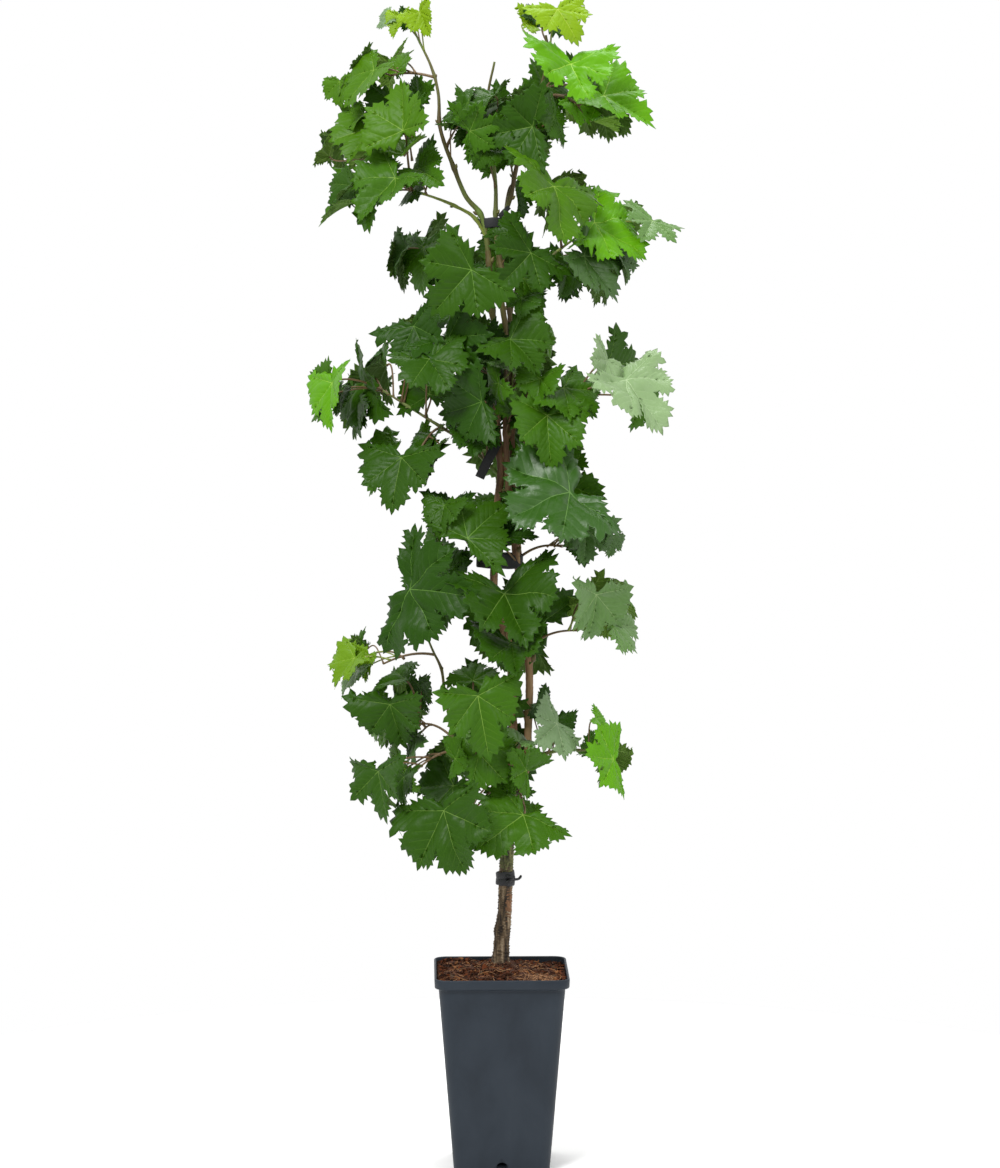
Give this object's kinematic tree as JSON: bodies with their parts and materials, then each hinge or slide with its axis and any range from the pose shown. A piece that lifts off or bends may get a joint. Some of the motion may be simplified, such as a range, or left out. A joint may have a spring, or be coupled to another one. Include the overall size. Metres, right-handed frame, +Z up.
{
  "type": "potted grapevine",
  "caption": "Young grapevine in a square nursery pot: knobbly grafted trunk, tall canes tied together, side shoots and lobed toothed leaves in open sprays.",
  "frame": {"origin": "centre of the pot's flat underside, on the surface it stands on", "axes": "+Z up along the plant, +X to the right and -Y towards the viewer when the plant is seen from its front"},
  "size_m": [0.4075, 0.2325, 1.2958],
  "materials": {
    "pot": "satin moulded, anthracite",
    "growing_medium": "loose coir and bark mix, damp",
    "bark": "fissured grey-brown bark",
    "cane": "smooth striated brown cane",
    "green_cane": "smooth green shoot",
    "tie": "black plastic tape",
    "leaf": "fresh leaf, soft sheen"
  },
  "bodies": {
    "root": {"cane_left": "cane", "cane_middle": "green_cane", "cane_right": "green_cane", "growing_medium": "growing_medium", "leaves_back_core": "leaf", "leaves_back_crown": "leaf", "leaves_back_foot": "leaf", "leaves_back_low": "leaf", "leaves_back_middle": "leaf", "leaves_back_shoulder": "leaf", "leaves_core_left": "leaf", "leaves_core_right": "leaf", "leaves_core_upper_left": "leaf", "leaves_core_upper_right": "leaf", "leaves_crown_tip_left": "leaf", "leaves_crown_tip_right": "leaf", "leaves_foot_left": "leaf", "leaves_foot_right": "leaf", "leaves_left_shoulder_low": "leaf", "leaves_left_wing_inner": "leaf", "leaves_left_wing_outer": "leaf", "leaves_low_core": "leaf", "leaves_low_front": "leaf", "leaves_low_left_elbow": "leaf", "leaves_low_left_tail": "leaf", "leaves_low_left_tip": "leaf", "leaves_low_right_drop": "leaf", "leaves_low_right_sprig": "leaf", "leaves_mid_core": "leaf", "leaves_mid_front_broad": "leaf", "leaves_mid_left_broad": "leaf", "leaves_mid_left_fan": "leaf", "leaves_mid_right_broad": "leaf", "leaves_mid_right_low": "leaf", "leaves_mid_right_outer": "leaf", "leaves_right_wing": "leaf", "leaves_shoulder_core": "leaf", "leaves_shoulder_front": "leaf", "leaves_shoulder_left": "leaf", "leaves_shoulder_right": "leaf", "leaves_top_core": "leaf", "leaves_top_left_broad": "leaf", "leaves_top_left_large": "leaf", "leaves_top_left_mid": "leaf", "leaves_top_left_spike": "leaf", "leaves_top_right_arm": "leaf", "leaves_top_right_crest": "leaf", "leaves_top_right_hang": "leaf", "leaves_top_right_shoulder": "leaf", "pot": "pot", "shoot_high_left": "green_cane", "shoot_high_right": "green_cane", "shoot_low_left": "green_cane", "shoot_low_right": "green_cane", "shoot_mid_left": "green_cane", "tie_foot": "tie", "tie_middle": "tie", "tie_top": "tie", "trunk": "bark"}
  },
  "joints": []
}
